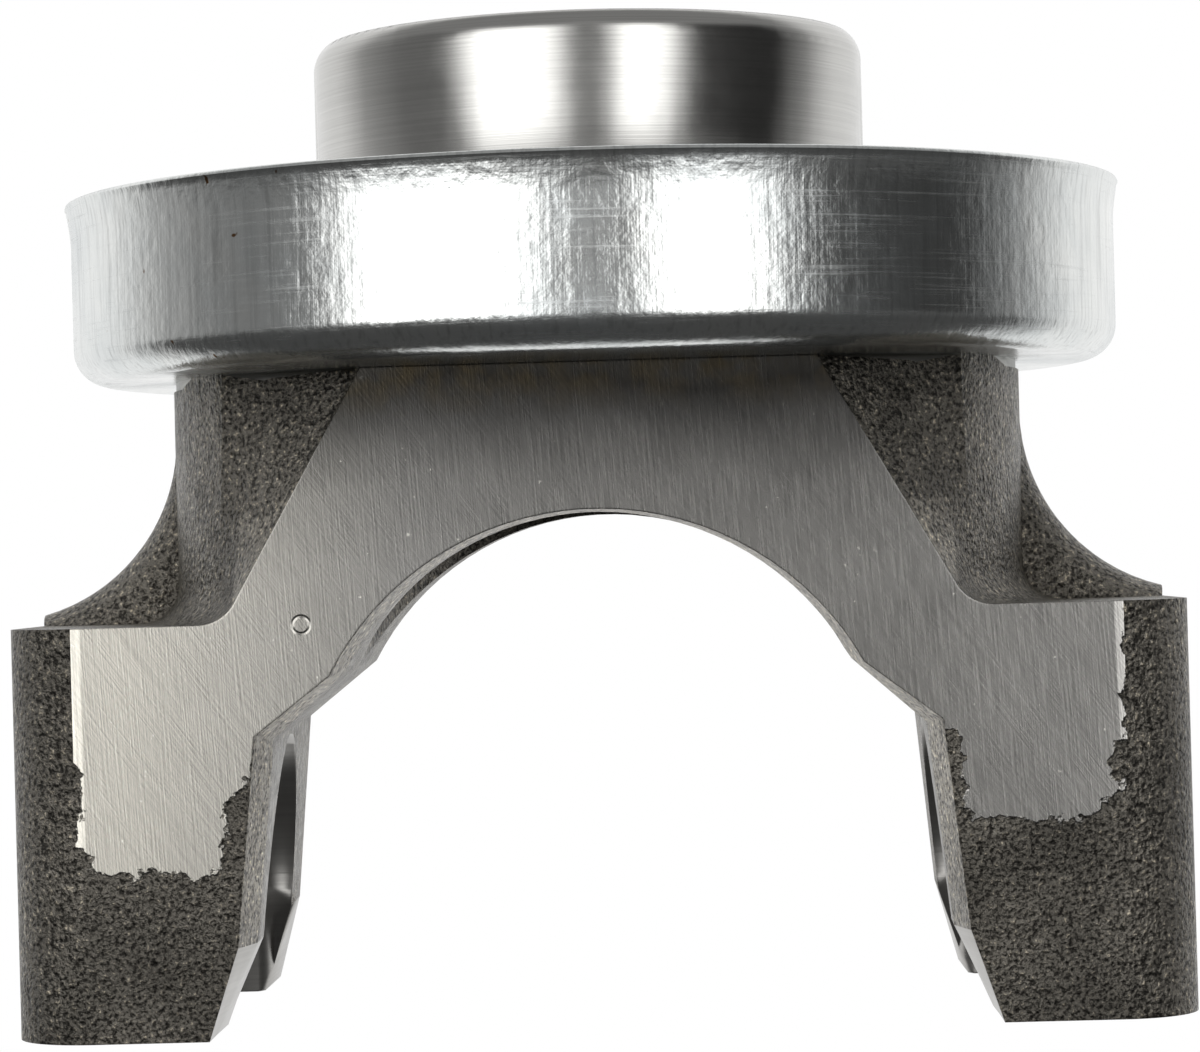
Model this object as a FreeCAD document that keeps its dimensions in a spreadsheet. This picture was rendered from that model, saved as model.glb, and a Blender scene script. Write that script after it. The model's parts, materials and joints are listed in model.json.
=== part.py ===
import FreeCAD
import Part
import Sketcher
import os

# Half-round end yoke for a differential pinion, with its pressed-on dust slinger.
# Frame: origin on the pinion axis at the plane of the four leg ends, +Z along
# the pinion axis towards the hub, X along the cross cap axis, Y through the arch.

os.makedirs("parts", exist_ok=True)
doc = FreeCAD.newDocument("EndYoke")


# Driving sizes, in millimetres unless the note says otherwise.
drivingSizes = [
    ("lug_gap", 106.36, "distance between the two locating lugs, the cross length"),
    ("lug_thick", 5.02, "thickness of each locating lug along X"),
    ("ear_depth", 61.0, "yoke thickness between the two milled faces, along Y"),
    ("ear_corner_r", 8.0, "rounding of the outer vertical ear corners"),
    ("shelf_height", 40.5, "height of the ear tops above the leg ends"),
    ("cap_dia", 30.16, "outside diameter of the cross bearing cap"),
    ("cap_height", 10.9, "height of the cap axis above the leg ends"),
    ("relief_radius", 17.7, "radius of the inboard relief at each saddle"),
    ("relief_reach", 37.3, "distance from the pinion axis to the end of the relief"),
    ("relief_cone", 1.5, "axial length of the step from relief to seat"),
    ("lug_mouth_radius", 12.7, "radius of the opening through each lug"),
    ("arch_radius", 29.5, "arch radius at the milled faces"),
    ("arch_height", 50.8, "height of the arch roof above the leg ends"),
    ("knee_out", 26.0, "half width where the arch meets the knee ramp"),
    ("shoulder_out", 33.5, "half width where the knee ramp meets the ear face"),
    ("shoulder_height", 29.5, "height of that corner"),
    ("bevel_out", 35.6, "half width at the top of the leg bevel"),
    ("bevel_height", 9.0, "height of the leg bevel"),
    ("leg_tip_out", 38.6, "half width between the bevelled leg tips"),
    ("rim_step", 1.3, "how far the front rim narrows the opening"),
    ("rim_depth", 6.0, "depth of the front rim along Y, to the parting line"),
    ("rear_gain", 0.3, "how much wider the rear opening is than the front one"),
    ("rear_tip_out", 38.0, "half width between the bevelled leg tips at the rear"),
    ("neck_half_width", 44.0, "half width of the neck along X"),
    ("neck_ridge_side", 22.5, "distance from the middle plane to the neck ridges, Y"),
    ("neck_ridge_top", 36.6, "half width between the ridges at the neck top"),
    ("neck_ridge_foot", 37.3, "half width between the ridges at the ear tops"),
    ("neck_top", 65.2, "height of the turned slinger seat"),
    ("flat_half_top", 22.2, "half width of the milled flat at the neck top"),
    ("flat_half_foot", 36.3, "half width of the milled flat at the ear top"),
    ("neck_foot_r", 4.0, "fillet between neck and ear top"),
    ("neck_sink", 7.0, "depth to which the neck runs into the ears"),
    ("mill_stock", 1.5, "forged stock that milling takes off each neck face"),
    ("web_thick", 13.0, "thickness of the web over each ear, along Y"),
    ("web_crown_r", 5.5, "rounding of the web's two upper edges"),
    ("web_sweep_r", 19.0, "radius of the sweep from neck to ear end"),
    ("web_sweep_top", 60.0, "height where the sweep leaves the neck"),
    ("seat_turn_radius", 43.7, "radius of the turned band under the slinger"),
    ("seat_turn_depth", 0.9, "height of that band"),
    ("land_radius", 30.0, "radius of the land that carries the slinger"),
    ("land_height", 2.2, "height of that land"),
    ("journal_dia", 57.15, "seal journal diameter"),
    ("hub_height", 99.8, "height of the hub end above the leg ends"),
    ("lead_length", 2.6, "length of the journal lead-in"),
    ("lead_drop", 1.3, "radial drop of the rounded journal lead-in"),
    ("spline_minor_dia", 38.5, "minor diameter of the pinion spline"),
    ("spline_depth", 1.4, "depth of each spline space"),
    ("spline_root_width", 1.35, "width of a space at its root"),
    ("spline_mouth_width", 2.45, "width of a space at the bore"),
    ("spline_teeth", 30, "number of spline teeth, a count"),
    ("mouth_chamfer", 1.2, "chamfer at the hub end of the bore"),
    ("nut_seat_height", 62.0, "height of the pinion nut seat"),
    ("nut_bore_dia", 50.0, "diameter of the nut clearance below its seat"),
    ("cut_clearance", 5.0, "how far cuts run past the leg ends"),
    ("strap_hole_dia", 8.5, "tapping drill of the strap bolt holes"),
    ("strap_hole_depth", 22.0, "depth of the strap bolt holes"),
    ("strap_hole_out", 46.2, "distance of the strap bolts from the pinion axis, X"),
    ("strap_hole_side", 22.9, "distance of the strap bolts from the middle, Y"),
    ("slinger_radius", 54.1, "outside radius of the slinger wall"),
    ("slinger_flare", 0.6, "outward flare of the rim"),
    ("slinger_wall_top", 79.0, "height where the flare starts"),
    ("slinger_rim", 83.6, "height of the slinger rim"),
    ("sheet", 1.8, "sheet thickness of the slinger"),
    ("slinger_bend_r", 3.5, "outside bend radius of the slinger"),
]

sheet = doc.addObject("Spreadsheet::Sheet", "Sizes")
for row, (alias, value, note) in enumerate(drivingSizes, start=1):
    sheet.set("A%d" % row, alias)
    sheet.set("B%d" % row, str(value))
    sheet.set("C%d" % row, note)
    sheet.setAlias("B%d" % row, alias)

# Positions that follow from the driving sizes, each formula written once.
derivedSizes = [
    ("ear_out", "Sizes.lug_gap / 2 + Sizes.lug_thick"),
    ("half_depth", "Sizes.ear_depth / 2"),
    ("cap_radius", "Sizes.cap_dia / 2"),
    ("arch_centre", "Sizes.arch_height - Sizes.arch_radius"),
    ("knee_height", "arch_centre + sqrt(Sizes.arch_radius ^ 2 - Sizes.knee_out ^ 2)"),
    ("inner_radius", "Sizes.arch_radius - Sizes.rim_step"),
    ("inner_centre", "arch_centre + 0.8 * Sizes.rim_step"),
    ("inner_knee_out", "Sizes.knee_out - 0.8 * Sizes.rim_step"),
    ("inner_knee_height", "inner_centre + sqrt(inner_radius ^ 2 - inner_knee_out ^ 2)"),
    ("inner_shoulder_out", "Sizes.shoulder_out - Sizes.rim_step"),
    ("inner_shoulder_height", "Sizes.shoulder_height - 0.4 * Sizes.rim_step"),
    ("inner_bevel_out", "Sizes.bevel_out - Sizes.rim_step"),
    ("rim_plane", "half_depth - Sizes.rim_depth"),
    ("below_legs", "Sizes.cut_clearance"),
    ("rear_radius", "Sizes.arch_radius + Sizes.rear_gain"),
    ("rear_centre", "arch_centre - 0.8 * Sizes.rear_gain"),
    ("rear_knee_out", "Sizes.knee_out + 0.8 * Sizes.rear_gain"),
    ("rear_knee_height", "rear_centre + sqrt(rear_radius ^ 2 - rear_knee_out ^ 2)"),
    ("rear_shoulder_out", "Sizes.shoulder_out + Sizes.rear_gain"),
    ("rear_shoulder_height", "Sizes.shoulder_height - Sizes.rear_gain"),
    ("neck_floor", "Sizes.shelf_height - Sizes.neck_sink"),
    ("flat_slope",
     "(Sizes.flat_half_foot - Sizes.flat_half_top) / (Sizes.neck_top - Sizes.shelf_height)"),
    ("flat_half_floor", "Sizes.flat_half_foot + flat_slope * Sizes.neck_sink"),
    ("raw_depth", "half_depth + Sizes.mill_stock"),
    ("ridge_gap", "half_depth - Sizes.neck_ridge_side"),
    ("ridge_slope",
     "(Sizes.neck_ridge_foot - Sizes.neck_ridge_top) / (Sizes.neck_top - Sizes.shelf_height)"),
    ("ridge_floor", "Sizes.neck_ridge_foot + ridge_slope * Sizes.neck_sink"),
    ("raw_half_top", "Sizes.flat_half_top - Sizes.mill_stock"
                     " * (Sizes.neck_ridge_top - Sizes.flat_half_top) / ridge_gap"),
    ("raw_half_floor", "flat_half_floor - Sizes.mill_stock"
                       " * (ridge_floor - flat_half_floor) / ridge_gap"),
    ("mill_reach", "raw_depth + 2"),
    ("bulge_top", "Sizes.neck_half_width - Sizes.neck_ridge_top"),
    ("bulge_floor", "Sizes.neck_half_width - ridge_floor"),
    ("side_radius_top", "(Sizes.neck_ridge_side ^ 2 + bulge_top ^ 2) / (2 * bulge_top)"),
    ("side_radius_floor", "(Sizes.neck_ridge_side ^ 2 + bulge_floor ^ 2) / (2 * bulge_floor)"),
    ("side_centre_top", "Sizes.neck_half_width - side_radius_top"),
    ("side_centre_floor", "Sizes.neck_half_width - side_radius_floor"),
    ("sweep_centre_x", "Sizes.neck_half_width + Sizes.web_sweep_r"),
    ("web_root", "sweep_centre_x - 1.5 * Sizes.web_sweep_r"),
    ("web_half", "Sizes.web_thick / 2"),
    ("crown_start", "Sizes.neck_half_width - Sizes.web_crown_r"),
    ("crown_side", "web_half - Sizes.web_crown_r"),
    ("web_turn", "acos((sweep_centre_x - ear_out) / Sizes.web_sweep_r)"),
    ("journal_radius", "Sizes.journal_dia / 2"),
    ("land_top", "Sizes.neck_top + Sizes.land_height"),
    ("lead_start", "Sizes.hub_height - Sizes.lead_length"),
    ("lead_radius", "journal_radius - Sizes.lead_drop"),
    ("lead_round", "(Sizes.lead_length ^ 2 + Sizes.lead_drop ^ 2) / (2 * Sizes.lead_drop)"),
    ("lead_centre", "journal_radius - lead_round"),
    ("hub_root", "Sizes.neck_top - 2"),
    ("bore_radius", "Sizes.spline_minor_dia / 2"),
    ("space_start", "bore_radius - 0.6"),
    ("space_root", "bore_radius + Sizes.spline_depth"),
    ("space_half_root", "Sizes.spline_root_width / 2"),
    ("space_half_mouth", "Sizes.spline_mouth_width / 2"),
    ("nut_radius", "Sizes.nut_bore_dia / 2"),
    ("cone_end", "Sizes.relief_reach + Sizes.relief_cone"),
    ("strap_hole_radius", "Sizes.strap_hole_dia / 2"),
    ("turn_floor", "Sizes.neck_top - Sizes.seat_turn_depth"),
    ("turn_reach", "Sizes.neck_half_width + Sizes.cut_clearance"),
    ("slinger_inner", "Sizes.slinger_radius - Sizes.sheet"),
    ("slinger_web_top", "Sizes.neck_top + Sizes.sheet"),
    ("bend_centre_r", "Sizes.slinger_radius - Sizes.slinger_bend_r"),
    ("bend_centre_z", "Sizes.neck_top + Sizes.slinger_bend_r"),
    ("bend_inner_r", "Sizes.slinger_bend_r - Sizes.sheet"),
    ("rim_outer", "Sizes.slinger_radius + Sizes.slinger_flare"),
    ("rim_inner", "rim_outer - Sizes.sheet"),
]
layout = doc.addObject("Spreadsheet::Sheet", "Layout")
doc.recompute()
for row, (alias, formula) in enumerate(derivedSizes, start=1):
    layout.set("A%d" % row, alias)
    layout.set("B%d" % row, "=" + formula)
    layout.setAlias("B%d" % row, alias)
    doc.recompute()


sizeNames = [entry[0] for entry in drivingSizes]


def cellName(alias):
    """Full name of a cell, signed aliases included."""
    sign = ""
    while alias.startswith("-"):
        sign = "" if sign else "-"
        alias = alias[1:]
    owner = "Sizes" if alias in sizeNames else "Layout"
    return sign + owner + "." + alias


def cellValue(alias):
    """Present number in a cell, signed aliases included."""
    if alias == "0":
        return 0.0
    sign = 1.0
    while alias.startswith("-"):
        sign = -sign
        alias = alias[1:]
    owner = sheet if alias in sizeNames else layout
    return sign * float(getattr(owner, alias))


def near(one, other):
    return abs(one - other) < 0.01


def originPlane(body, role):
    for feature in body.Origin.OriginFeatures:
        if feature.Role == role:
            return feature


def newSketch(body, name, role, offsetAlias=None):
    """Sketch on an origin plane, moved along the plane's normal by one cell."""
    sketch = body.newObject("Sketcher::SketchObject", name)
    sketch.AttachmentSupport = [(originPlane(body, role), "")]
    sketch.MapMode = "FlatFace"
    if offsetAlias:
        sketch.setExpression("AttachmentOffset.Base.z", cellName(offsetAlias))
    return sketch


def pinPoint(sketch, geometry, end, across, up):
    """Holds one end of an edge at the cells named across and up."""
    for kind, alias in (("DistanceX", across), ("DistanceY", up)):
        index = sketch.addConstraint(Sketcher.Constraint(
            kind, -1, 1, geometry, end, cellValue(alias)))
        if alias != "0":
            sketch.setExpression("Constraints[%d]" % index, cellName(alias))


def closedOutline(sketch, corners, arcs=None):
    """Closed outline through corners; arcs maps an edge's number to
    (radius cell, centre across, centre up, runs anticlockwise)."""
    arcs = arcs or {}
    first = sketch.GeometryCount
    points = [FreeCAD.Vector(cellValue(a), cellValue(u), 0) for a, u in corners]
    count = len(corners)
    startEnd = []
    for edge in range(count):
        start = points[edge]
        end = points[(edge + 1) % count]
        if edge in arcs:
            radius, centreAcross, centreUp, anticlockwise = arcs[edge]
            centre = FreeCAD.Vector(cellValue(centreAcross), cellValue(centreUp), 0)
            size = cellValue(radius)
            normal = FreeCAD.Vector(0, 0, 1)
            circle = Part.Circle(centre, normal, size)
            low, high = (start, end) if anticlockwise else (end, start)
            arc = Part.ArcOfCircle(circle, circle.parameter(low), circle.parameter(high))
            sketch.addGeometry(arc, False)
            startEnd.append((1, 2) if anticlockwise else (2, 1))
        else:
            sketch.addGeometry(Part.LineSegment(start, end), False)
            startEnd.append((1, 2))
    for edge in range(count):
        following = (edge + 1) % count
        sketch.addConstraint(Sketcher.Constraint(
            "Coincident", first + edge, startEnd[edge][1],
            first + following, startEnd[following][0]))
    for edge in range(count):
        across, up = corners[edge]
        pinPoint(sketch, first + edge, startEnd[edge][0], across, up)
    for edge, (radius, centreAcross, centreUp, anticlockwise) in arcs.items():
        chord = points[(edge + 1) % count].sub(points[edge]).Length
        if near(chord, 2 * cellValue(radius)):
            index = sketch.addConstraint(Sketcher.Constraint(
                "DistanceY", -1, 1, first + edge, 3, cellValue(centreUp)))
            sketch.setExpression("Constraints[%d]" % index, cellName(centreUp))
        else:
            index = sketch.addConstraint(Sketcher.Constraint(
                "Radius", first + edge, cellValue(radius)))
            sketch.setExpression("Constraints[%d]" % index, cellName(radius))


def roundOutline(sketch, across, up, radius):
    """Full circle about a point given by two cells."""
    first = sketch.GeometryCount
    centre = FreeCAD.Vector(cellValue(across), cellValue(up), 0)
    sketch.addGeometry(Part.Circle(centre, FreeCAD.Vector(0, 0, 1), cellValue(radius)), False)
    pinPoint(sketch, first, 3, across, up)
    index = sketch.addConstraint(Sketcher.Constraint("Radius", first, cellValue(radius)))
    sketch.setExpression("Constraints[%d]" % index, cellName(radius))


def mouthOutline(sketch, radius):
    """Half-round saddle mouth: an arch over two straight walls, open downwards."""
    closedOutline(
        sketch,
        [(radius, "cap_height"), ("-" + radius, "cap_height"),
         ("-" + radius, "-below_legs"), (radius, "-below_legs")],
        {0: (radius, "0", "cap_height", True)})


def archOutline(sketch, radius, centre, knee, shoulder, bevelOut, tipOut):
    """Arch, knee ramps, ear faces and leg bevels as one outline; knee and
    shoulder are pairs of cells, across and up."""
    halfWay = [knee, shoulder, (bevelOut, "bevel_height"), (tipOut, "0"),
               (tipOut, "-below_legs")]
    otherSide = [("-" + across, up) for across, up in halfWay]
    closedOutline(sketch, [knee] + otherSide + halfWay[:0:-1],
                  {0: (radius, "0", centre, True)})


def sidePad(body, sketch, name, kind, lengthAlias):
    """Pad or pocket that runs the same way to both sides of its sketch."""
    feature = body.newObject("PartDesign::" + kind, name)
    feature.Profile = sketch
    feature.Midplane = True
    feature.setExpression("Length", cellName(lengthAlias) if lengthAlias in sizeNames
                          else lengthAlias)
    doc.recompute()
    return feature


def cutLoft(body, name, fromSketch, toSketch):
    """Cut that runs straight from one outline to another."""
    feature = body.newObject("PartDesign::SubtractiveLoft", name)
    feature.Profile = fromSketch
    feature.Sections = [toSketch]
    feature.Ruled = True
    doc.recompute()
    return feature


def turn(body, name, kind, sketch, axis, angle=360.0):
    """Revolution or groove about an axis of its own sketch."""
    feature = body.newObject("PartDesign::" + kind, name)
    feature.Profile = sketch
    feature.ReferenceAxis = (sketch, [axis])
    feature.Angle = angle
    doc.recompute()
    return feature


def edgesWhere(feature, test):
    """Names of the edges whose centre and end points pass a test."""
    names = []
    for number, edge in enumerate(feature.Shape.Edges, start=1):
        if test(edge):
            names.append("Edge%d" % number)
    return names


def dress(body, base, kind, name, edges, sizeProperty, sizeAlias):
    """Fillet or chamfer on the named edges of a feature."""
    feature = body.newObject("PartDesign::" + kind, name)
    feature.Base = (base, edges)
    feature.Refine = False
    feature.setExpression(sizeProperty, cellName(sizeAlias))
    doc.recompute()
    return feature


# ---------------------------------------------------------------- the forging
yoke = doc.addObject("PartDesign::Body", "yoke_forging")
yoke.Label = "yoke_forging"

# Both ears start as one block that stands on the leg ends.
earSketch = newSketch(yoke, "EarOutline", "XZ_Plane")
closedOutline(earSketch, [("-ear_out", "0"), ("ear_out", "0"),
                          ("ear_out", "shelf_height"), ("-ear_out", "shelf_height")])
earBlock = sidePad(yoke, earSketch, "EarBlock", "Pad", "ear_depth")
earOut = cellValue("ear_out")
halfDepth = cellValue("half_depth")
uprights = edgesWhere(earBlock, lambda edge: near(abs(edge.CenterOfMass.x), earOut)
                      and near(abs(edge.CenterOfMass.y), halfDepth))
earRound = dress(yoke, earBlock, "Fillet", "EarCorners", uprights, "Radius", "ear_corner_r")

# The neck is lofted from a wide flat at the ears to a narrow one under the hub,
# so its four inclined faces twist; its sides keep one plan radius.


def neckSection(name, offsetAlias, flat, ridge, radius, centre):
    sketch = newSketch(yoke, name, "XY_Plane", offsetAlias)
    closedOutline(
        sketch,
        [("-" + flat, "-raw_depth"), (flat, "-raw_depth"),
         (ridge, "-neck_ridge_side"), (ridge, "neck_ridge_side"),
         (flat, "raw_depth"), ("-" + flat, "raw_depth"),
         ("-" + ridge, "neck_ridge_side"), ("-" + ridge, "-neck_ridge_side")],
        {2: (radius, centre, "0", True), 6: (radius, "-" + centre, "0", True)})
    return sketch


neckFloorSketch = neckSection("NeckFloor", "neck_floor", "raw_half_floor",
                              "ridge_floor", "side_radius_floor", "side_centre_floor")
neckTopSketch = neckSection("NeckTop", "neck_top", "raw_half_top",
                            "neck_ridge_top", "side_radius_top", "side_centre_top")
neck = yoke.newObject("PartDesign::AdditiveLoft", "Neck")
neck.Profile = neckFloorSketch
neck.Sections = [neckTopSketch]
neck.Ruled = True
doc.recompute()

# Milling brings the neck faces flush with the ears.
millSketch = newSketch(yoke, "MillOutline", "XY_Plane", "neck_top")
closedOutline(millSketch, [("-ear_out", "half_depth"), ("ear_out", "half_depth"),
                           ("ear_out", "mill_reach"), ("-ear_out", "mill_reach")])
closedOutline(millSketch, [("-ear_out", "-mill_reach"), ("ear_out", "-mill_reach"),
                           ("ear_out", "-half_depth"), ("-ear_out", "-half_depth")])
milled = yoke.newObject("PartDesign::Pocket", "MilledFaces")
milled.Profile = millSketch
milled.setExpression("Length", "Sizes.neck_top")
doc.recompute()


def onShelf(edge, side):
    """Whether an edge runs where the neck meets the ear top on one side."""
    centre = edge.CenterOfMass
    level = edge.BoundBox.ZLength < 0.01 and near(centre.z, cellValue("shelf_height"))
    reach = side * centre.x
    return level and 0 < reach < cellValue("neck_half_width") and abs(centre.y) < halfDepth - 0.1


rightFoot = dress(yoke, milled, "Fillet", "NeckFootRight",
                  edgesWhere(milled, lambda edge: onShelf(edge, 1)), "Radius", "neck_foot_r")
leftFoot = dress(yoke, rightFoot, "Fillet", "NeckFootLeft",
                 edgesWhere(rightFoot, lambda edge: onShelf(edge, -1)), "Radius", "neck_foot_r")

# A crowned web in the middle plane of each ear sweeps from the neck to the ear's
# end; it turns about a line beside the neck, drawn downwards so that it runs down.
webSketch = newSketch(yoke, "WebSection", "XY_Plane", "web_sweep_top")
closedOutline(
    webSketch,
    [("web_root", "-web_half"), ("crown_start", "-web_half"),
     ("neck_half_width", "-crown_side"), ("neck_half_width", "crown_side"),
     ("crown_start", "web_half"), ("web_root", "web_half")],
    {1: ("web_crown_r", "crown_start", "-crown_side", True),
     3: ("web_crown_r", "crown_start", "crown_side", True)})
sweepCentre = cellValue("sweep_centre_x")
sweepLine = webSketch.addGeometry(Part.LineSegment(
    FreeCAD.Vector(sweepCentre, cellValue("web_half"), 0),
    FreeCAD.Vector(sweepCentre, -cellValue("web_half"), 0)), True)
pinPoint(webSketch, sweepLine, 1, "sweep_centre_x", "web_half")
pinPoint(webSketch, sweepLine, 2, "sweep_centre_x", "-web_half")
web = turn(yoke, "Web", "Revolution", webSketch, "Axis0", cellValue("web_turn"))
web.setExpression("Angle", "Layout.web_turn")
doc.recompute()
otherWeb = yoke.newObject("PartDesign::Mirrored", "OtherWeb")
otherWeb.Originals = [web]
otherWeb.MirrorPlane = (originPlane(yoke, "YZ_Plane"), [""])
yoke.Tip = otherWeb
doc.recompute()

# Hub: slinger land, seal journal and lead-in, turned about the pinion axis.
hubSketch = newSketch(yoke, "HubOutline", "XZ_Plane")
closedOutline(
    hubSketch,
    [("0", "hub_root"), ("land_radius", "hub_root"), ("land_radius", "land_top"),
     ("journal_radius", "land_top"), ("journal_radius", "lead_start"),
     ("lead_radius", "hub_height"), ("0", "hub_height")],
    {4: ("lead_round", "lead_centre", "lead_start", True)})
hub = turn(yoke, "Hub", "Revolution", hubSketch, "V_Axis")

# A band turned true just under the slinger takes the neck's sides down.
bandSketch = newSketch(yoke, "SeatBand", "XZ_Plane")
closedOutline(
    bandSketch,
    [("seat_turn_radius", "turn_floor"), ("turn_reach", "turn_floor"),
     ("turn_reach", "slinger_web_top"), ("seat_turn_radius", "slinger_web_top")])
band = turn(yoke, "SeatTurning", "Groove", bandSketch, "V_Axis")

# The opening between the ears narrows from the front face to the parting line,
# then widens all the way to the rear face.
frontSketch = newSketch(yoke, "ArchFront", "XZ_Plane", "half_depth")
archOutline(frontSketch, "arch_radius", "arch_centre", ("knee_out", "knee_height"),
            ("shoulder_out", "shoulder_height"), "bevel_out", "leg_tip_out")
partingSketch = newSketch(yoke, "ArchParting", "XZ_Plane", "rim_plane")
rearSketch = newSketch(yoke, "ArchRear", "XZ_Plane", "-half_depth")
archOutline(rearSketch, "rear_radius", "rear_centre", ("rear_knee_out", "rear_knee_height"),
            ("rear_shoulder_out", "rear_shoulder_height"), "bevel_out", "rear_tip_out")
archOutline(partingSketch, "inner_radius", "inner_centre",
            ("inner_knee_out", "inner_knee_height"),
            ("inner_shoulder_out", "inner_shoulder_height"), "inner_bevel_out", "leg_tip_out")
rim = cutLoft(yoke, "RimDraft", frontSketch, partingSketch)
arch = cutLoft(yoke, "Arch", partingSketch, rearSketch)

# Half-round saddles for the bearing caps: lug mouth right through, cap seat
# between the lugs, then the wider inboard relief and the cone that leads to it.
mouthSketch = newSketch(yoke, "LugMouth", "YZ_Plane")
mouthOutline(mouthSketch, "lug_mouth_radius")
lugMouth = sidePad(yoke, mouthSketch, "LugMouths", "Pocket", "2 * Layout.ear_out + 4")
seatSketch = newSketch(yoke, "CapSeat", "YZ_Plane")
mouthOutline(seatSketch, "cap_radius")
capSeat = sidePad(yoke, seatSketch, "CapSeats", "Pocket", "lug_gap")
reliefSketch = newSketch(yoke, "Relief", "YZ_Plane")
mouthOutline(reliefSketch, "relief_radius")
relief = sidePad(yoke, reliefSketch, "Reliefs", "Pocket", "2 * Sizes.relief_reach")
coneWideSketch = newSketch(yoke, "ConeWide", "YZ_Plane", "relief_reach")
mouthOutline(coneWideSketch, "relief_radius")
coneNarrowSketch = newSketch(yoke, "ConeNarrow", "YZ_Plane", "cone_end")
mouthOutline(coneNarrowSketch, "cap_radius")
cone = cutLoft(yoke, "ReliefCone", coneWideSketch, coneNarrowSketch)
otherCone = yoke.newObject("PartDesign::Mirrored", "OtherReliefCone")
otherCone.Originals = [cone]
otherCone.MirrorPlane = (originPlane(yoke, "YZ_Plane"), [""])
yoke.Tip = otherCone
doc.recompute()

# Nut clearance from the arch up to its seat, then the splined bore to the hub end.
nutSketch = newSketch(yoke, "NutClearance", "XY_Plane", "nut_seat_height")
roundOutline(nutSketch, "0", "0", "nut_radius")
nutBore = yoke.newObject("PartDesign::Pocket", "NutBore")
nutBore.Profile = nutSketch
nutBore.setExpression("Length", "Sizes.nut_seat_height")
doc.recompute()
boreSketch = newSketch(yoke, "BoreOutline", "XY_Plane", "hub_height")
roundOutline(boreSketch, "0", "0", "bore_radius")
bore = yoke.newObject("PartDesign::Pocket", "Bore")
bore.Profile = boreSketch
bore.setExpression("Length", "Sizes.hub_height")
doc.recompute()
hubTop = cellValue("hub_height")
boreMouth = edgesWhere(bore, lambda edge: near(edge.BoundBox.ZMin, hubTop)
                       and near(edge.BoundBox.XLength, 2 * cellValue("bore_radius")))
mouth = dress(yoke, bore, "Chamfer", "BoreMouth", boreMouth, "Size", "mouth_chamfer")
spaceSketch = newSketch(yoke, "SplineSpace", "XY_Plane", "hub_height")
closedOutline(
    spaceSketch,
    [("space_start", "-space_half_mouth"), ("space_root", "-space_half_root"),
     ("space_root", "space_half_root"), ("space_start", "space_half_mouth")])
space = yoke.newObject("PartDesign::Pocket", "SplineSpaceCut")
space.Profile = spaceSketch
space.setExpression("Length", "Sizes.hub_height - Sizes.nut_seat_height")
doc.recompute()
spline = yoke.newObject("PartDesign::PolarPattern", "Spline")
spline.Originals = [space]
spline.Axis = (spaceSketch, ["N_Axis"])
spline.Angle = 360
spline.Occurrences = int(cellValue("spline_teeth"))
spline.setExpression("Occurrences", "Sizes.spline_teeth")
yoke.Tip = spline
doc.recompute()

# Tapped strap bolt holes run up into the four leg ends.
strapSketch = newSketch(yoke, "StrapHole", "XY_Plane")
roundOutline(strapSketch, "strap_hole_out", "strap_hole_side", "strap_hole_radius")
strapHole = yoke.newObject("PartDesign::Pocket", "StrapHoleCut")
strapHole.Profile = strapSketch
strapHole.Reversed = True
strapHole.setExpression("Length", "Sizes.strap_hole_depth")
doc.recompute()
strapMirror = yoke.newObject("PartDesign::MultiTransform", "StrapHoles")
strapMirror.Originals = [strapHole]
acrossMirror = yoke.newObject("PartDesign::Mirrored", "StrapMirrorAcross")
acrossMirror.MirrorPlane = (originPlane(yoke, "YZ_Plane"), [""])
throughMirror = yoke.newObject("PartDesign::Mirrored", "StrapMirrorThrough")
throughMirror.MirrorPlane = (originPlane(yoke, "XZ_Plane"), [""])
strapMirror.Transformations = [acrossMirror, throughMirror]
yoke.Tip = strapMirror
doc.recompute()

# ---------------------------------------------------------------- the slinger
slinger = doc.addObject("PartDesign::Body", "dust_slinger")
slinger.Label = "dust_slinger"
cupSketch = newSketch(slinger, "CupOutline", "XZ_Plane")
closedOutline(
    cupSketch,
    [("land_radius", "neck_top"), ("bend_centre_r", "neck_top"),
     ("slinger_radius", "bend_centre_z"), ("slinger_radius", "slinger_wall_top"),
     ("rim_outer", "slinger_rim"), ("rim_inner", "slinger_rim"),
     ("slinger_inner", "slinger_wall_top"), ("slinger_inner", "bend_centre_z"),
     ("bend_centre_r", "slinger_web_top"), ("land_radius", "slinger_web_top")],
    {1: ("slinger_bend_r", "bend_centre_r", "bend_centre_z", True),
     7: ("bend_inner_r", "bend_centre_r", "bend_centre_z", False)})
cup = turn(slinger, "Cup", "Revolution", cupSketch, "V_Axis")

for piece in (yoke, slinger):
    piece.Placement = FreeCAD.Placement()
doc.recompute()

# Every feature must be sound, and must add or remove as its kind says.
faults = [item.Label for item in doc.Objects
          if "Invalid" in item.State or "Error" in item.State]
for adding, chain in (
        (True, [earRound, neck]), (False, [neck, milled]), (True, [milled, rightFoot, leftFoot]),
        (True, [leftFoot, web, otherWeb, hub]), (False, [hub, band, rim, arch]),
        (False, [arch, lugMouth, capSeat, relief, cone, otherCone]),
        (False, [otherCone, nutBore, bore, mouth, space, spline, strapHole, strapMirror])):
    for before, after in zip(chain, chain[1:]):
        change = after.Shape.Volume - before.Shape.Volume
        if (change > 0.01) != adding or (change < -0.01) == adding:
            faults.append(after.Label + " changes the volume by %.2f" % change)
for piece in (yoke, slinger):
    shape = piece.Shape
    if shape.isNull() or not shape.isValid() or len(shape.Solids) != 1:
        faults.append(piece.Label + " shape")
if faults:
    raise SystemExit("faulty: " + ", ".join(faults))
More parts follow.
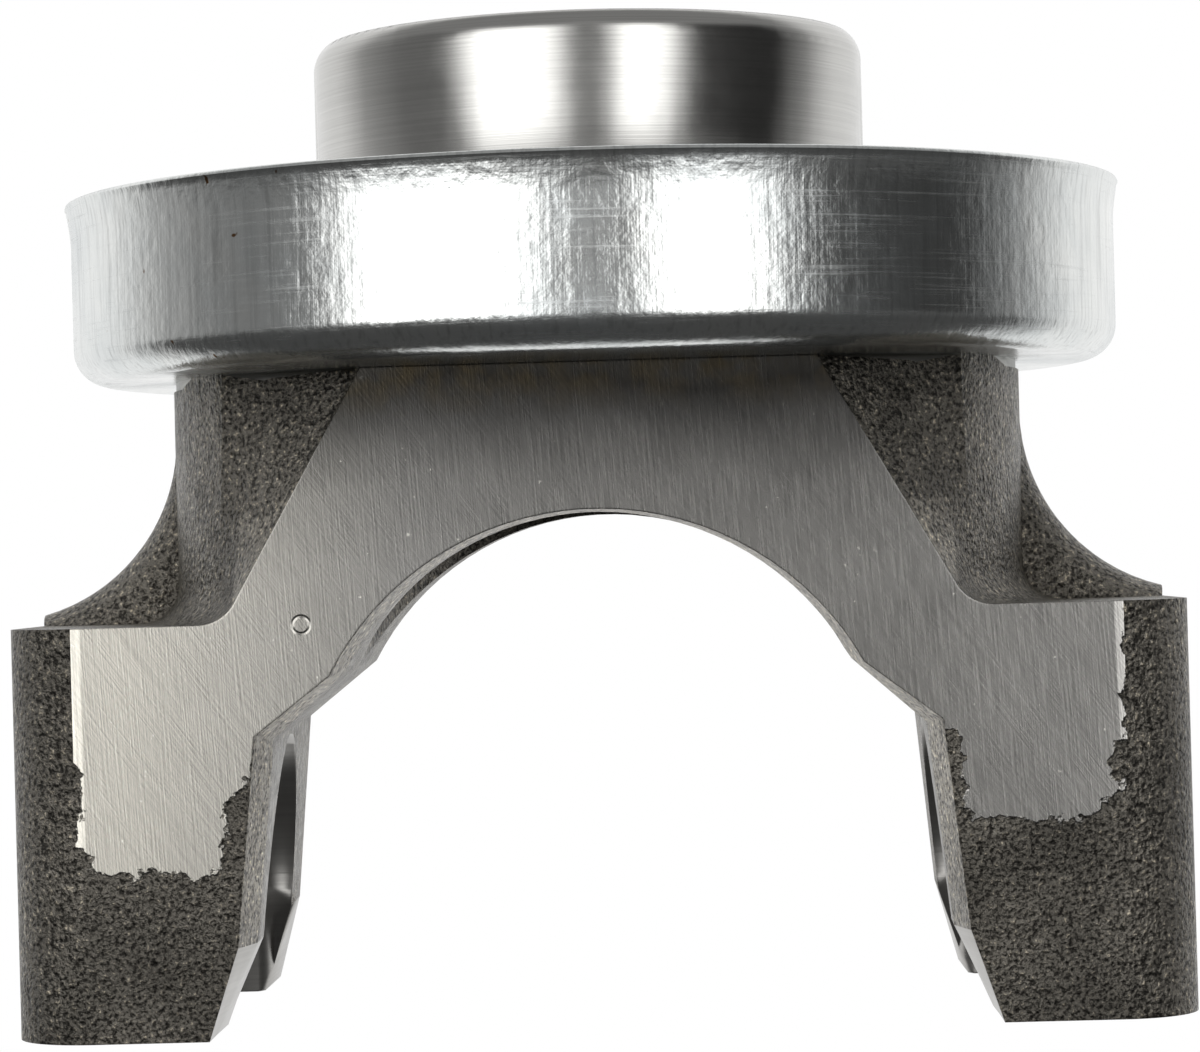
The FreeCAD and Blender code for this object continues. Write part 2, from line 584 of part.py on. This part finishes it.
for piece in (yoke, slinger):
    piece.Shape.exportStep("parts/" + piece.Label + ".step")
    print(piece.Label, round(piece.Shape.Volume), "mm3", len(piece.Shape.Faces), "faces")
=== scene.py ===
import bpy
import bmesh
import math
import json
from mathutils import Vector, Matrix

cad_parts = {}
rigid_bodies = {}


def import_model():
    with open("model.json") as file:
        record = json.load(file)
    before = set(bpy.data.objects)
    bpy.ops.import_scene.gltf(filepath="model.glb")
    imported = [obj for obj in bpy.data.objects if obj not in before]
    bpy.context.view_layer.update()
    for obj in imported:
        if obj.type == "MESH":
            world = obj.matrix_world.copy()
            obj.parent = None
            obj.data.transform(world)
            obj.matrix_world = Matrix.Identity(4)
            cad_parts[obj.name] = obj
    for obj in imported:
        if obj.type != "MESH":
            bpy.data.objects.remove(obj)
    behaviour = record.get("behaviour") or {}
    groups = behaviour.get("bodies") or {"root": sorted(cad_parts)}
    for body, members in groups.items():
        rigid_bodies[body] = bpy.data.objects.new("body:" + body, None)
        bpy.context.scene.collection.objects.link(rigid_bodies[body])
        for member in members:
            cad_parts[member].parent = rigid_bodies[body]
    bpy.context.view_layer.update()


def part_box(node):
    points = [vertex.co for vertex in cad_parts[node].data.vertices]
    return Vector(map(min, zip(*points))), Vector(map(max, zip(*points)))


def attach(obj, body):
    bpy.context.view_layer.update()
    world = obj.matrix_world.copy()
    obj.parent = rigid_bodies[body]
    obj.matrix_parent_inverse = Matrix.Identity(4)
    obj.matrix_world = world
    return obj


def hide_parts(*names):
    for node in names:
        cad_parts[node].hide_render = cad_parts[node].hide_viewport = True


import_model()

# Camera: a long lens just to the right of the pinion axis
shot = {
    "distance": 0.421,       # from the pinion axis
    "height": 0.0461,        # above the leg ends
    "yaw": 1.38,             # degrees, towards the right ear
    "pitch": 0.441,
    "roll": -1.59,
    "lens": 120.7,           # millimetres
    "sensor": 36.0,
}


def addCamera():
    data = bpy.data.cameras.new("shotCamera")
    data.sensor_width = shot["sensor"]
    data.lens = shot["lens"]
    data.clip_start = 0.01
    data.clip_end = 20.0
    camera = bpy.data.objects.new("shotCamera", data)
    bpy.context.scene.collection.objects.link(camera)
    yaw = math.radians(shot["yaw"])
    place = Vector((math.sin(yaw), -math.cos(yaw), 0)) * shot["distance"]
    place.z = shot["height"]
    turn = (Matrix.Rotation(yaw, 4, "Z")
            @ Matrix.Rotation(math.radians(90 + shot["pitch"]), 4, "X")
            @ Matrix.Rotation(math.radians(shot["roll"]), 4, "Z"))
    camera.matrix_world = Matrix.Translation(place) @ turn
    bpy.context.scene.camera = camera


addCamera()
print("camera placed")


# Small helpers for node trees
def wire(tree, socket, value):
    if isinstance(value, bpy.types.NodeSocket):
        tree.links.new(value, socket)
    else:
        socket.default_value = value


def node(tree, kind, inputs, settings=None, output=0):
    made = tree.nodes.new(kind)
    for key, value in (settings or {}).items():
        setattr(made, key, value)
    for key, value in inputs.items():
        wire(tree, made.inputs[key], value)
    return made.outputs[output]


def calc(tree, operation, first, second=0.0, third=0.0):
    return node(tree, "ShaderNodeMath", {0: first, 1: second, 2: third},
                {"operation": operation})


# Colour ramp from (position, grey or colour) pairs
def ramp(tree, factor, stops):
    made = tree.nodes.new("ShaderNodeValToRGB")
    elements = made.color_ramp.elements
    while len(elements) < len(stops):
        elements.new(0.5)
    for element, (position, shade) in zip(elements, stops):
        element.position = position
        element.color = (*shade, 1) if isinstance(shade, tuple) else (shade, shade, shade, 1)
    tree.links.new(factor, made.inputs["Fac"])
    return made.outputs["Color"]


def noise(tree, coords, scale, detail=2.0, rough=0.5):
    return node(tree, "ShaderNodeTexNoise",
                {"Vector": coords, "Scale": scale, "Detail": detail, "Roughness": rough})


# Coordinates turned in the front plane by some degrees, then scaled
def stretch(tree, coords, scale, turn=0.0):
    if turn:
        coords = node(tree, "ShaderNodeMapping",
                      {"Vector": coords, "Rotation": (0, math.radians(turn), 0)})
    return node(tree, "ShaderNodeMapping", {"Vector": coords, "Scale": scale})


def blendColor(tree, factor, first, second, mode="MIX"):
    return node(tree, "ShaderNodeMix", {0: factor, 6: first, 7: second},
                {"data_type": "RGBA", "blend_type": mode}, 2)


def blendValue(tree, factor, first, second):
    return node(tree, "ShaderNodeMix", {0: factor, 2: first, 3: second})


# 0 below low, 1 above high, straight between
def limits(tree, value, low, high):
    return node(tree, "ShaderNodeMapRange",
                {"Value": value, "From Min": low, "From Max": high})


# The three parts of a vector
def axes(tree, vector):
    parts = tree.nodes.new("ShaderNodeSeparateXYZ")
    tree.links.new(vector, parts.inputs[0])
    return parts.outputs


def newMaterial(name):
    material = bpy.data.materials.new(name)
    material.use_nodes = True
    tree = material.node_tree
    principled = tree.nodes["Principled BSDF"]
    coords = tree.nodes.new("ShaderNodeTexCoord").outputs["Object"]
    return material, tree, principled, coords


# Bump of a depth in metres, over rounded edges of a radius in metres where one is given
def relief(tree, principled, height, depth, edgeRadius=None, samples=6):
    inputs = {"Height": height, "Distance": depth, "Strength": 1.0}
    if edgeRadius:
        inputs["Normal"] = node(tree, "ShaderNodeBevel", {"Radius": edgeRadius},
                                {"samples": samples})
    wire(tree, principled.inputs["Normal"], node(tree, "ShaderNodeBump", inputs))


# Studio: a white backdrop behind, two soft boxes in front, black flags at the sides.
# Each stop is an azimuth in degrees from the camera, right positive, and a brightness.
studio = {
    "boxes": [(-180, 1.0), (-150, 1.0), (-124, 0.62), (-100, 0.36), (-84, 0.20), (-60, 0.16),
              (-54, 0.9), (-46, 2.4), (-25, 2.8), (-12, 2.0), (-7, 0.6), (-2, 0.20), (7, 0.20),
              (12, 1.0), (17, 2.4), (24, 2.8), (36, 2.0), (43, 0.4), (50, 0.05), (88, 0.03),
              (108, 0.35), (124, 0.62), (150, 1.0), (180, 1.0)],
    "peak": 3.0,
    "boxLow": -0.16,         # sine of the elevation where the boxes start
    "boxHigh": 0.62,         # and where they end
    "lowEdge": 0.06,         # softness of those two edges
    "highEdge": 0.08,
    "floorLevel": 0.06,
    "roofLevel": 0.30,
    "levelSpan": 0.3,        # sine of the elevation over which floor turns to roof
    "backStart": 0.30,       # depth of a direction where the backdrop starts
    "backFull": 0.62,
    "backLevel": 1.0,
}


def lightStudio():
    world = bpy.data.worlds.new("studio")
    bpy.context.scene.world = world
    world.use_nodes = True
    tree = world.node_tree
    direction = tree.nodes.new("ShaderNodeTexCoord").outputs["Generated"]
    side, depth, up = axes(tree, direction)
    azimuth = calc(tree, "ARCTAN2", side, calc(tree, "MULTIPLY", depth, -1.0))
    turn = calc(tree, "MULTIPLY_ADD", azimuth, 0.5 / math.pi, 0.5)
    around = ramp(tree, turn, [(angle / 360 + 0.5, level / studio["peak"])
                               for angle, level in studio["boxes"]])
    around = calc(tree, "MULTIPLY", around, studio["peak"])
    low, lowEdge = studio["boxLow"], studio["lowEdge"]
    high, highEdge = studio["boxHigh"], studio["highEdge"]
    overFloor = limits(tree, up, low - lowEdge, low + lowEdge)
    overBoxes = limits(tree, up, high - highEdge, high + highEdge)
    inBand = calc(tree, "MULTIPLY", overFloor, calc(tree, "SUBTRACT", 1.0, overBoxes))
    plain = blendValue(tree, limits(tree, up, -studio["levelSpan"], studio["levelSpan"]),
                       studio["floorLevel"], studio["roofLevel"])
    front = blendValue(tree, inBand, plain, around)
    behind = limits(tree, depth, studio["backStart"], studio["backFull"])
    level = blendValue(tree, behind, front, studio["backLevel"])
    background = tree.nodes["Background"]
    tree.links.new(level, background.inputs["Color"])
    background.inputs["Strength"].default_value = 1.0
    bpy.context.scene.view_settings.view_transform = "Standard"


lightStudio()
print("studio lit")


# Forged skin: dark oxide over an orange-peel grain. Scales are per metre.
skinLook = {
    "dark": (0.040, 0.037, 0.032),
    "mid": (0.185, 0.172, 0.148),
    "glint": (0.62, 0.55, 0.43),
    "grain": 2000.0,
    "pebble": 2300.0,
    "lump": 700.0,
    "patch": 90.0,
    "lumpShare": 0.9,        # how much lumps add to the grain and pebbles take away
    "pebbleShare": 0.35,
    "patchSpread": 0.7,      # how far the brightness of patches differs
    "patchBase": 0.65,
    "roughness": [(0.3, 0.44), (0.7, 0.28)],
    "depth": 0.00050,        # metres
    "metallic": 0.9,
    "edge": 0.0006,          # metres
}
# brightness and depth of the skin in each kind of place; the brightness is painted light: the
# arch skin is a darker painted-shade copy, the rim skin a paler painted-light copy
skinKinds = {"forgedSkin": (1.0, 1.0), "archShadedSkin": (0.9, 0.7), "rimLitSkin": (1.7, 0.6)}


# Colour, roughness and height of the forged skin
def skinNodes(tree, coords, paintedLightLevel=1.0):
    grain = noise(tree, coords, skinLook["grain"], 3.0, 0.62)
    lumps = noise(tree, coords, skinLook["lump"], 2.0, 0.55)
    patches = noise(tree, coords, skinLook["patch"], 2.0, 0.5)
    pebble = node(tree, "ShaderNodeTexVoronoi",
                  {"Vector": coords, "Scale": skinLook["pebble"]})
    height = calc(tree, "ADD", grain, calc(tree, "MULTIPLY", lumps, skinLook["lumpShare"]))
    height = calc(tree, "SUBTRACT", height,
                  calc(tree, "MULTIPLY", pebble, skinLook["pebbleShare"]))
    # painted glints: the top of the grain takes a pale glint colour
    tone = ramp(tree, grain, [(0.40, skinLook["dark"]), (0.50, skinLook["mid"]),
                              (0.60, skinLook["mid"]), (0.70, skinLook["glint"])])
    shade = calc(tree, "MULTIPLY", limits(tree, patches, 0.25, 0.75), skinLook["patchSpread"])
    # painted light: the skin is made lighter or darker by the level of its place
    shade = calc(tree, "MULTIPLY", calc(tree, "ADD", shade, skinLook["patchBase"]), paintedLightLevel)
    color = blendColor(tree, 1.0, tone, shade, "MULTIPLY")
    roughness = ramp(tree, lumps, skinLook["roughness"])
    return color, roughness, height


def makeSkin(name):
    paintedLightLevel, depth = skinKinds[name]
    material, tree, principled, coords = newMaterial(name)
    color, roughness, height = skinNodes(tree, coords, paintedLightLevel)
    wire(tree, principled.inputs["Base Color"], color)
    wire(tree, principled.inputs["Roughness"], roughness)
    principled.inputs["Metallic"].default_value = skinLook["metallic"]
    relief(tree, principled, height, skinLook["depth"] * depth, skinLook["edge"])
    return material


# Milled faces: satin steel, cutter marks, diagonal scratches, bright nicks.
# Lengths in metres, scales per metre.
milledLook = {
    "steel": (0.41, 0.40, 0.38),
    "paintedHighlight": (0.64, 0.615, 0.55),
    "nick": (0.80, 0.78, 0.72),
    "paintedShadow": (0.085, 0.070, 0.045),
    "roughness": [(0.25, 0.32), (0.75, 0.16)],
    "outLeft": 0.0522,       # outer end of the clean patch on each ear
    "outRight": 0.0520,
    "outSlope": 0.12,        # how fast that end draws in downwards
    "outMargin": 0.0025,
    "floorLeft": 0.0169,     # lower end of the patch
    "floorRight": 0.0194,
    "kneeHeight": 0.0285,    # under it the patch keeps off the leg's inner edge
    "innerLeft": 0.0341,
    "innerRight": 0.0346,
    "innerSlopeLeft": 0.31,
    "innerSlopeRight": 0.15,
    "kneeSteep": 3.0,
    "wanderScale": 210.0,    # ragged border: a slow wander and a fine one
    "wander": 0.0060,
    "fineScale": 1500.0,
    "fine": 0.0012,
    "borderHalf": 0.00012,
    "scratch": (4200, 1, 60),
    "scratchTurn": 36,       # degrees
    "scratchTone": [(0.28, 0.82), (0.50, 0.96), (0.72, 1.0)],
    "scratchDepth": 0.030,   # depths as shares of the skin's
    "draw": (5200, 1, 150),
    "drawTurn": 4,
    "drawDepth": 0.022,
    "nickScale": 1300.0,
    "nickStops": [(0.74, 0.0), (0.78, 1.0)],
    "broadScale": 45.0,
    "broadTone": [(0.3, 0.72), (0.7, 1.0)],
    "broadShare": 0.6,
    "highlightFrom": -0.018,      # towards the left ear the steel turns paler and warmer: a painted highlight
    "highlightTo": -0.046,
    "shadeFrom": 0.044,      # towards the slinger it turns darker: painted shade
    "shadeTo": 0.066,
    "shadeWander": 0.012,
    "shadeTone": [(0.0, 1.0), (0.42, 0.74), (0.70, 0.28), (0.86, 0.12), (1.0, 0.26)],
    # a blotchy brown painted shadow close under the slinger
    "shadowFrom": 0.0600,
    "shadowTo": 0.0650,
    "shadowScale": 320.0,
    "shadowStops": [(0.40, 0.15), (0.60, 1.0)],
    "ringAcross": -0.0286,   # ring mark on the left arm
    "ringUp": 0.0403,
    "ringInner": 0.0003,
    "ringOuter": 0.0013,
    "ringStops": [(0.0, 0.0), (0.35, 0.0), (0.55, 1.0), (0.75, 0.0)],
    "ringDepth": 0.16,
    "edge": 0.00025,
}


# 1 where milling cleaned up the face, 0 where the forged skin is left
def cleanPatch(tree, coords, across, up):
    look = milledLook
    slow = calc(tree, "SUBTRACT", noise(tree, coords, look["wanderScale"], 4.0, 0.6), 0.5)
    quick = calc(tree, "SUBTRACT", noise(tree, coords, look["fineScale"], 2.0, 0.6), 0.5)
    wander = calc(tree, "ADD", calc(tree, "MULTIPLY", slow, look["wander"]),
                  calc(tree, "MULTIPLY", quick, look["fine"]))
    onRight = calc(tree, "GREATER_THAN", across, 0.0)
    distance = calc(tree, "ABSOLUTE", across)
    outEnd = blendValue(tree, onRight, look["outLeft"], look["outRight"])
    above = calc(tree, "SUBTRACT", up,
                 blendValue(tree, onRight, look["floorLeft"], look["floorRight"]))
    inside = calc(tree, "SUBTRACT", calc(tree, "SUBTRACT", outEnd, distance),
                  look["outMargin"])
    inside = calc(tree, "MULTIPLY_ADD", above, look["outSlope"], inside)
    slope = blendValue(tree, onRight, look["innerSlopeLeft"], look["innerSlopeRight"])
    margin = blendValue(tree, onRight, look["innerLeft"], look["innerRight"])
    innerEnd = calc(tree, "MULTIPLY_ADD", calc(tree, "SUBTRACT", look["kneeHeight"], up),
                    slope, margin)
    overKnee = calc(tree, "MULTIPLY", calc(tree, "SUBTRACT", up, look["kneeHeight"]),
                    look["kneeSteep"])
    inner = calc(tree, "MAXIMUM", calc(tree, "SUBTRACT", distance, innerEnd), overKnee)
    reach = calc(tree, "MINIMUM", calc(tree, "MINIMUM", inside, above), inner)
    return limits(tree, calc(tree, "ADD", reach, wander),
                  -look["borderHalf"], look["borderHalf"])


# 1 on a small ring pressed into the left arm
def ringMark(tree, across, up):
    fromAcross = calc(tree, "SUBTRACT", across, milledLook["ringAcross"])
    fromUp = calc(tree, "SUBTRACT", up, milledLook["ringUp"])
    squares = calc(tree, "ADD", calc(tree, "POWER", fromAcross, 2.0),
                   calc(tree, "POWER", fromUp, 2.0))
    outwards = limits(tree, calc(tree, "SQRT", squares),
                      milledLook["ringInner"], milledLook["ringOuter"])
    return ramp(tree, outwards, milledLook["ringStops"])


def makeMilled(name):
    look = milledLook
    material, tree, principled, coords = newMaterial(name)
    parts = axes(tree, coords)
    across, up = parts[0], parts[2]
    clean = cleanPatch(tree, coords, across, up)
    skinColor, skinRough, skinHeight = skinNodes(tree, coords)
    marks = noise(tree, stretch(tree, coords, look["scratch"], look["scratchTurn"]),
                  1.0, 3.0, 0.7)
    drawn = noise(tree, stretch(tree, coords, look["draw"], look["drawTurn"]), 1.0, 2.0, 0.6)
    speck = noise(tree, coords, look["nickScale"], 2.0, 0.55)
    broad = noise(tree, coords, look["broadScale"], 3.0, 0.55)
    # painted highlight: towards the left ear the steel is paler and warmer
    steel = blendColor(tree, limits(tree, across, look["highlightFrom"], look["highlightTo"]),
                       (*look["steel"], 1), (*look["paintedHighlight"], 1))
    steel = blendColor(tree, 1.0, steel, ramp(tree, marks, look["scratchTone"]), "MULTIPLY")
    steel = blendColor(tree, look["broadShare"], steel,
                       ramp(tree, broad, look["broadTone"]), "MULTIPLY")
    nicks = ramp(tree, speck, look["nickStops"])
    steel = blendColor(tree, nicks, steel, (*look["nick"], 1))
    # painted shade: darker towards the slinger, with a blotchy brown painted shadow close under
    # it
    ragged = calc(tree, "MULTIPLY", calc(tree, "SUBTRACT", broad, 0.5), look["shadeWander"])
    ragged = limits(tree, calc(tree, "ADD", up, ragged), look["shadeFrom"], look["shadeTo"])
    steel = blendColor(tree, 1.0, steel, ramp(tree, ragged, look["shadeTone"]), "MULTIPLY")
    blotch = ramp(tree, noise(tree, coords, look["shadowScale"], 3.0, 0.6),
                  look["shadowStops"])
    paintedShadow = calc(tree, "MULTIPLY", limits(tree, up, look["shadowFrom"], look["shadowTo"]),
                 blotch)
    steel = blendColor(tree, paintedShadow, steel, (*look["paintedShadow"], 1))
    rough = ramp(tree, drawn, look["roughness"])
    height = calc(tree, "ADD", calc(tree, "MULTIPLY", marks, look["scratchDepth"]),
                  calc(tree, "MULTIPLY", drawn, look["drawDepth"]))
    height = calc(tree, "SUBTRACT", height,
                  calc(tree, "MULTIPLY", ringMark(tree, across, up), look["ringDepth"]))
    wire(tree, principled.inputs["Base Color"], blendColor(tree, clean, skinColor, steel))
    wire(tree, principled.inputs["Roughness"], blendValue(tree, clean, skinRough, rough))
    wire(tree, principled.inputs["Metallic"],
         blendValue(tree, clean, skinLook["metallic"], 1.0))
    # bare metal lies lower than the skin around it
    level = blendValue(tree, clean, calc(tree, "SUBTRACT", skinHeight, 1.0), height)
    relief(tree, principled, level, skinLook["depth"], look["edge"])
    return material


# Turned and bored faces: fine rings about the pinion axis
turnedLook = {
    "ground": {"color": (0.56, 0.555, 0.535), "roughness": 0.17, "lines": 5200,
               "depth": 0.000006},
    "machined": {"color": (0.42, 0.41, 0.39), "roughness": 0.30, "lines": 3000,
                 "depth": 0.000012},
    "alongLines": 20,
    "lineTone": [(0.3, 0.84), (0.7, 1.0)],
    "smudge": 130.0,
    "smoother": 0.03,        # how far smudges change the roughness
    "rougher": 0.06,
    "edge": 0.0003,
}


def makeTurned(name, kind):
    look = turnedLook[kind]
    roughness, along = look["roughness"], turnedLook["alongLines"]
    material, tree, principled, coords = newMaterial(name)
    rings = noise(tree, stretch(tree, coords, (along, along, look["lines"])), 1.0, 3.0, 0.65)
    smudge = noise(tree, coords, turnedLook["smudge"], 3.0, 0.6)
    tone = blendColor(tree, 1.0, (*look["color"], 1),
                      ramp(tree, rings, turnedLook["lineTone"]), "MULTIPLY")
    wire(tree, principled.inputs["Base Color"], tone)
    wire(tree, principled.inputs["Roughness"],
         ramp(tree, smudge, [(0.3, roughness - turnedLook["smoother"]),
                             (0.7, roughness + turnedLook["rougher"])]))
    principled.inputs["Metallic"].default_value = 1.0
    relief(tree, principled, rings, look["depth"], turnedLook["edge"], 4)
    return material


# Forging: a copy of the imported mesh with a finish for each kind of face.
# Borders between the finishes, in metres.
borders = {
    "hubFloor": 0.0672,      # the hub starts above it
    "hubInner": 0.0265,      # ground outside this radius, machined inside
    "boreOuter": 0.0262,     # spline bore and nut seat
    "boreFloor": 0.0615,
    "bandFloor": 0.0642,     # turned land under the slinger
    "bandInner": 0.0300,
    "millFace": 0.0304,      # milled front and rear faces
    "legEnd": 0.0002,
    "capHeight": 0.0109,     # axis of the cap saddles
    "saddleReach": 0.0178,
    "saddleInner": 0.0345,
    "saddleTop": 0.0295,
    "bevelTop": 0.0091,      # bevels inside the leg ends
    "bevelOut": 0.0387,
    "archOut": 0.0352,       # walls and rims of the arch
    "archTop": 0.0512,
    "rimEnd": -0.0244,       # back end of the front rim
    "square": 0.9,           # least share of a normal that faces one way
    "slanted": 0.6,
    "sharpAngle": 24,        # degrees
    "weld": 0.000001,
}
skinSlot, milledSlot, groundSlot, machinedSlot, archShadedSlot, rimLitSlot = range(6)


def faceFinish(face):
    centre, normal = face.calc_center_median(), face.normal
    x, y, z = abs(centre.x), abs(centre.y), centre.z
    lowest = min(corner.co.z for corner in face.verts)
    radius = math.hypot(x, y)
    overCap = z - borders["capHeight"]
    saddle = math.hypot(y, overCap) if overCap > 0 else y
    if z > borders["hubFloor"]:
        return groundSlot if radius > borders["hubInner"] else machinedSlot
    if radius < borders["boreOuter"] and z > borders["boreFloor"]:
        return machinedSlot
    if lowest > borders["bandFloor"] and radius > borders["bandInner"]:
        return machinedSlot
    if y > borders["millFace"] and abs(normal.y) > borders["square"]:
        return milledSlot
    if normal.z < -borders["square"] and z < borders["legEnd"]:
        return machinedSlot
    inEar = x > borders["saddleInner"] and z < borders["saddleTop"]
    if inEar and saddle < borders["saddleReach"]:
        return machinedSlot
    atBevel = z < borders["bevelTop"] and x < borders["bevelOut"]
    if atBevel and abs(normal.x) > borders["slanted"]:
        return machinedSlot
    # the arch walls take the painted-shade skin, the front rim the painted-light skin
    if x < borders["archOut"] and z < borders["archTop"] and y < borders["millFace"]:
        return rimLitSlot if centre.y < borders["rimEnd"] else archShadedSlot
    return skinSlot


def makeForging():
    source = next(o for o in bpy.data.objects if o.name.startswith("yoke_forging"))
    mesh = source.data.copy()
    mesh.name = "yokeForging"
    mesh.materials.clear()
    shape = bmesh.new()
    shape.from_mesh(mesh)
    bmesh.ops.remove_doubles(shape, verts=shape.verts, dist=borders["weld"])
    bmesh.ops.recalc_face_normals(shape, faces=shape.faces)
    for face in shape.faces:
        face.material_index = faceFinish(face)
        face.smooth = True
    shape.to_mesh(mesh)
    shape.free()
    # in the order of the slots above
    for material in (makeSkin("forgedSkin"), makeMilled("milledSteel"),
                     makeTurned("groundSteel", "ground"),
                     makeTurned("machinedSteel", "machined"),
                     makeSkin("archShadedSkin"), makeSkin("rimLitSkin")):
        mesh.materials.append(material)
    mesh.set_sharp_from_angle(angle=math.radians(borders["sharpAngle"]))
    forging = bpy.data.objects.new("yokeForging", mesh)
    bpy.context.scene.collection.objects.link(forging)
    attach(forging, "root")
    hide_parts("yoke_forging")


makeForging()
print("forging dressed")


# Zinc plated slinger: a spun profile with a rounded raw rim, in metres
cup = {
    "wall": 0.0018,
    "radius": 0.0541,
    "flare": 0.0006,
    "bend": 0.0035,
    "flareHeight": 0.0046,
    "bore": 0.0300,
    "rimRound": 0.00035,
    "rimInset": 0.3,         # share of the rounding where its middle point lies
    "flarePower": 1.6,
    "flareSteps": 8,
    "bendSteps": 12,
    "steps": 288,
    "weld": 0.0000005,
    "sharpAngle": 50,        # degrees
}

# Scales are per metre
zincLook = {
    "dull": (0.66, 0.69, 0.69),
    "bright": (0.80, 0.81, 0.79),
    "brown": (0.20, 0.11, 0.05),
    "brownFrom": -0.012,     # brown specks only towards the left
    "brownTo": -0.030,
    "brownScale": 520.0,
    "brownStops": [(0.735, 0.0), (0.76, 1.0)],
    "peel": 620.0,
    "cloud": 70.0,
    "roughness": [(0.3, 0.27), (0.7, 0.16)],
    "draw": (1500, 1500, 60),
    "drawTone": [(0.25, 0.70), (0.5, 1.0)],
    "drawShare": 0.8,
    "drawDepth": 0.35,       # depths as shares of the peel's
    "scuff": (60, 60, 2600),
    "scuffRough": 0.14,
    "scuffDepth": 0.10,
    "depth": 0.00007,        # metres
}


def makeZinc():
    look = zincLook
    material, tree, principled, coords = newMaterial("zincPlate")
    across = axes(tree, coords)[0]
    peel = noise(tree, coords, look["peel"], 3.0, 0.55)
    cloud = noise(tree, coords, look["cloud"], 4.0, 0.6)
    draw = noise(tree, stretch(tree, coords, look["draw"]), 1.0, 2.0, 0.6)
    scuff = noise(tree, stretch(tree, coords, look["scuff"]), 1.0, 3.0, 0.7)
    tone = blendColor(tree, limits(tree, cloud, 0.3, 0.7),
                      (*look["dull"], 1), (*look["bright"], 1))
    tone = blendColor(tree, look["drawShare"], tone,
                      ramp(tree, draw, look["drawTone"]), "MULTIPLY")
    speck = ramp(tree, noise(tree, coords, look["brownScale"], 2.0, 0.5),
                 look["brownStops"])
    speck = calc(tree, "MULTIPLY", speck,
                 limits(tree, across, look["brownFrom"], look["brownTo"]))
    tone = blendColor(tree, speck, tone, (*look["brown"], 1))
    wire(tree, principled.inputs["Base Color"], tone)
    scuffed = calc(tree, "MULTIPLY", limits(tree, scuff, 0.55, 0.75), look["scuffRough"])
    rough = calc(tree, "ADD", ramp(tree, cloud, look["roughness"]), scuffed)
    wire(tree, principled.inputs["Roughness"], rough)
    principled.inputs["Metallic"].default_value = 1.0
    height = calc(tree, "ADD", peel, calc(tree, "MULTIPLY", draw, look["drawDepth"]))
    height = calc(tree, "ADD", height, calc(tree, "MULTIPLY", scuff, look["scuffDepth"]))
    relief(tree, principled, height, look["depth"])
    return material


# Half section of the cup: up the outside, over the rim and down the inside
def cupProfile(base, top):
    outer, wall, bend = cup["radius"], cup["wall"], cup["bend"]
    wallTop = top - cup["flareHeight"]
    quarter, flareSteps = cup["bendSteps"], cup["flareSteps"]
    rim, inset = cup["rimRound"], cup["rimInset"] * cup["rimRound"]
    rimOuter = outer + cup["flare"]
    rimInner = rimOuter - wall

    def bendPoint(radius, step):
        angle = math.radians(-90 + 90 * step / quarter)
        return (outer - bend + radius * math.cos(angle), base + bend + radius * math.sin(angle))

    def flarePoint(radius, step):
        part = step / flareSteps
        return (radius + cup["flare"] * part ** cup["flarePower"],
                wallTop + (top - wallTop) * part)

    profile = [(cup["bore"], base)]
    profile += [bendPoint(bend, step) for step in range(quarter + 1)]
    profile += [flarePoint(outer, step) for step in range(1, flareSteps)]
    profile += [(rimOuter, top - rim), (rimOuter - inset, top - inset), (rimOuter - rim, top),
                (rimInner + rim, top), (rimInner + inset, top - inset), (rimInner, top - rim)]
    profile += [flarePoint(outer - wall, step) for step in range(flareSteps - 1, 0, -1)]
    profile += [bendPoint(bend - wall, step) for step in range(quarter, -1, -1)]
    profile.append((cup["bore"], base + wall))
    return profile


def makeSlinger():
    low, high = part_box("dust_slinger")
    profile = cupProfile(low[2], high[2])
    shape = bmesh.new()
    ring = [shape.verts.new((r, 0, z)) for r, z in profile]
    edges = [shape.edges.new((ring[i - 1], ring[i])) for i in range(len(ring))]
    bmesh.ops.spin(shape, geom=ring + edges, cent=(0, 0, 0), axis=(0, 0, 1),
                   angle=2 * math.pi, steps=cup["steps"], use_merge=True)
    bmesh.ops.remove_doubles(shape, verts=shape.verts, dist=cup["weld"])
    bmesh.ops.recalc_face_normals(shape, faces=shape.faces)
    for face in shape.faces:
        face.smooth = True
    mesh = bpy.data.meshes.new("slingerCup")
    shape.to_mesh(mesh)
    shape.free()
    mesh.set_sharp_from_angle(angle=math.radians(cup["sharpAngle"]))
    mesh.materials.append(makeZinc())
    slinger = bpy.data.objects.new("slingerCup", mesh)
    bpy.context.scene.collection.objects.link(slinger)
    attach(slinger, "root")
    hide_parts("dust_slinger")


makeSlinger()
print("slinger made")
